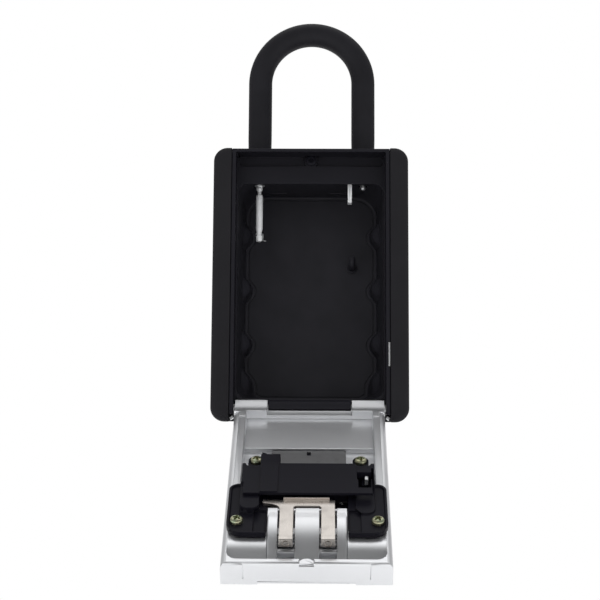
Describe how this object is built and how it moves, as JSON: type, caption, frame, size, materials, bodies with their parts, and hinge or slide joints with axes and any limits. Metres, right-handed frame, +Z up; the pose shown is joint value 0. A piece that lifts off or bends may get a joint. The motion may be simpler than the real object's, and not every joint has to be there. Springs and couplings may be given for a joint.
{
  "type": "combination key safe",
  "caption": "Hanging key box with a shackle, a drop-down door on a hinge, number wheels under a sliding cover, a latch fork and a key hook inside.",
  "frame": {"origin": "the point that hangs: the underside of the shackle bow at its middle, in the plane of the bow", "axes": "+Z up, +Y from the door opening to the flat back, +X to the right as seen from the front"},
  "size_m": [0.084, 0.127, 0.2471],
  "materials": {
    "jacket": "soft-touch black",
    "casting": "black powder coat",
    "liner": "satin black",
    "steel": "plated steel",
    "sleeve": "black vinyl",
    "zinc": "satin silver lacquer",
    "lock_case": "satin black",
    "nickel": "nickel plated",
    "screw": "yellow zinc plated",
    "plate": "dull grey",
    "wheel": "black with white figures"
  },
  "bodies": {
    "casing": {"outer_jacket": "jacket", "body_casting": "casting", "key_liner": "liner", "key_hook": "liner", "shelf_screw": "casting", "back_plate": "casting", "hinge_barrel": "casting", "hinge_pin_left": "steel", "hinge_pin_right": "steel", "stop_tab_left": "steel", "stop_tab_right": "steel", "rail_leaf": "steel", "stem_bush": "steel", "back_screw_1": "steel", "back_screw_2": "steel", "back_screw_3": "steel", "back_screw_4": "steel"},
    "shackle": {"shackle_bow": "steel", "shackle_sleeve": "sleeve", "shackle_stem": "steel", "stem_clip": "steel"},
    "catch": {"release_catch": "steel"},
    "door": {"door_casting": "zinc", "floor_plate": "plate", "lock_case": "lock_case", "case_screw_1": "screw", "case_screw_2": "screw", "case_screw_3": "screw", "case_screw_4": "screw", "wheel_axle": "steel"},
    "lever": {"code_lever": "nickel"},
    "wheel_1": {"number_wheel_1": "wheel", "gate_sleeve_1": "nickel"},
    "wheel_2": {"number_wheel_2": "wheel", "gate_sleeve_2": "nickel"},
    "wheel_3": {"number_wheel_3": "wheel", "gate_sleeve_3": "nickel"},
    "wheel_4": {"number_wheel_4": "wheel", "gate_sleeve_4": "nickel"},
    "latch": {"latch_fork": "nickel", "fence_comb": "steel", "thumb_slide": "zinc"},
    "cover": {"weather_cover": "zinc"}
  },
  "joints": [
    {"name": "door_hinge", "type": "hinge", "parent": "casing", "child": "door", "pos_m": [0, -0.0165, -0.1644], "axis": [1, 0, 0], "range_deg": [-128, 0]},
    {"name": "shackle_lift", "type": "slide", "parent": "casing", "child": "shackle", "axis": [0, 0, 1], "range_m": [0, 0.0204]},
    {"name": "catch_slide", "type": "slide", "parent": "casing", "child": "catch", "axis": [1, 0, 0], "range_m": [0, 0.003]},
    {"name": "wheel_1_spin", "type": "hinge", "parent": "door", "child": "wheel_1", "pos_m": [-0.0129, -0.06692, -0.20138], "axis": [1, 0, 0], "continuous": true},
    {"name": "wheel_2_spin", "type": "hinge", "parent": "door", "child": "wheel_2", "pos_m": [-0.0043, -0.06692, -0.20138], "axis": [1, 0, 0], "continuous": true},
    {"name": "wheel_3_spin", "type": "hinge", "parent": "door", "child": "wheel_3", "pos_m": [0.0043, -0.06692, -0.20138], "axis": [1, 0, 0], "continuous": true},
    {"name": "wheel_4_spin", "type": "hinge", "parent": "door", "child": "wheel_4", "pos_m": [0.0129, -0.06692, -0.20138], "axis": [1, 0, 0], "continuous": true},
    {"name": "cover_slide", "type": "slide", "parent": "door", "child": "cover", "axis": [0, 0.788, 0.6157], "range_m": [0, 0.0535]},
    {"name": "latch_slide", "type": "slide", "parent": "door", "child": "latch", "axis": [0, 0.788, 0.6157], "range_m": [0, 0.0052], "stiffness_N_per_m": 200, "springref_m": -0.004},
    {"name": "lever_slide", "type": "slide", "parent": "door", "child": "lever", "axis": [0, -0.788, -0.6157], "range_m": [0, 0.0035]}
  ]
}
